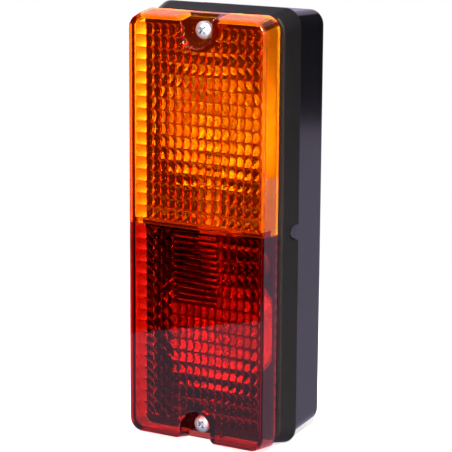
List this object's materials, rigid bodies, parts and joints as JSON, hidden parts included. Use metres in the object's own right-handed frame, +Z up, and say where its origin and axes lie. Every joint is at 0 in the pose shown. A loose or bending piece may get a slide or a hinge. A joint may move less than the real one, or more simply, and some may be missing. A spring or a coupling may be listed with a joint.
{
  "type": "tail light cluster",
  "caption": "Upright rear lamp with an amber and a red pillow-optic lens half screwed over a rubber rim and a moulded housing, with bulbs, holders and bright dishes inside.",
  "frame": {"origin": "middle of the flat back face that lies on the vehicle, halfway between the mounting studs", "axes": "+Z up along the lamp, +X to the right seen from the lens side, +Y out of the back along the studs; the lens faces -Y"},
  "size_m": [0.0736, 0.074, 0.1974],
  "materials": {
    "amber_acrylic": "clear amber acrylic, polished",
    "red_acrylic": "clear red acrylic, polished",
    "zinc_steel": "bright zinc plate",
    "rim_rubber": "matte black rubber",
    "grommet_rubber": "matte black rubber",
    "housing_plastic": "glossy black moulded plastic",
    "bright_dish": "bright pressed sheet",
    "divider_plastic": "matte black moulding",
    "plated_sheet": "plated steel sheet",
    "laminate": "brown moulded insulation",
    "contact_brass": "pressed brass",
    "cap_brass": "nickelled brass",
    "base_glass": "black base insulation",
    "clear_glass": "clear blown glass",
    "filament_wire": "drawn wire"
  },
  "bodies": {
    "root": {"amber_lens": "amber_acrylic", "red_lens": "red_acrylic", "lens_screws": "zinc_steel", "rim_gasket": "rim_rubber", "rear_housing": "housing_plastic", "mounting_studs": "zinc_steel", "cable_grommet": "grommet_rubber", "indicator_reflector": "bright_dish", "stop_tail_reflector": "bright_dish", "reflector_screws": "zinc_steel", "chamber_divider": "divider_plastic", "holder_bracket": "plated_sheet", "bracket_screws": "zinc_steel", "contact_carrier": "laminate", "indicator_contact": "contact_brass", "stop_contact": "contact_brass", "tail_contact": "contact_brass", "indicator_socket": "plated_sheet", "stop_tail_socket": "plated_sheet", "indicator_bulb_cap": "cap_brass", "indicator_bulb_insulator": "base_glass", "indicator_bulb_glass": "clear_glass", "indicator_bulb_filament": "filament_wire", "stop_tail_bulb_cap": "cap_brass", "stop_tail_bulb_insulator": "base_glass", "stop_tail_bulb_glass": "clear_glass", "stop_tail_bulb_filaments": "filament_wire"}
  },
  "joints": []
}
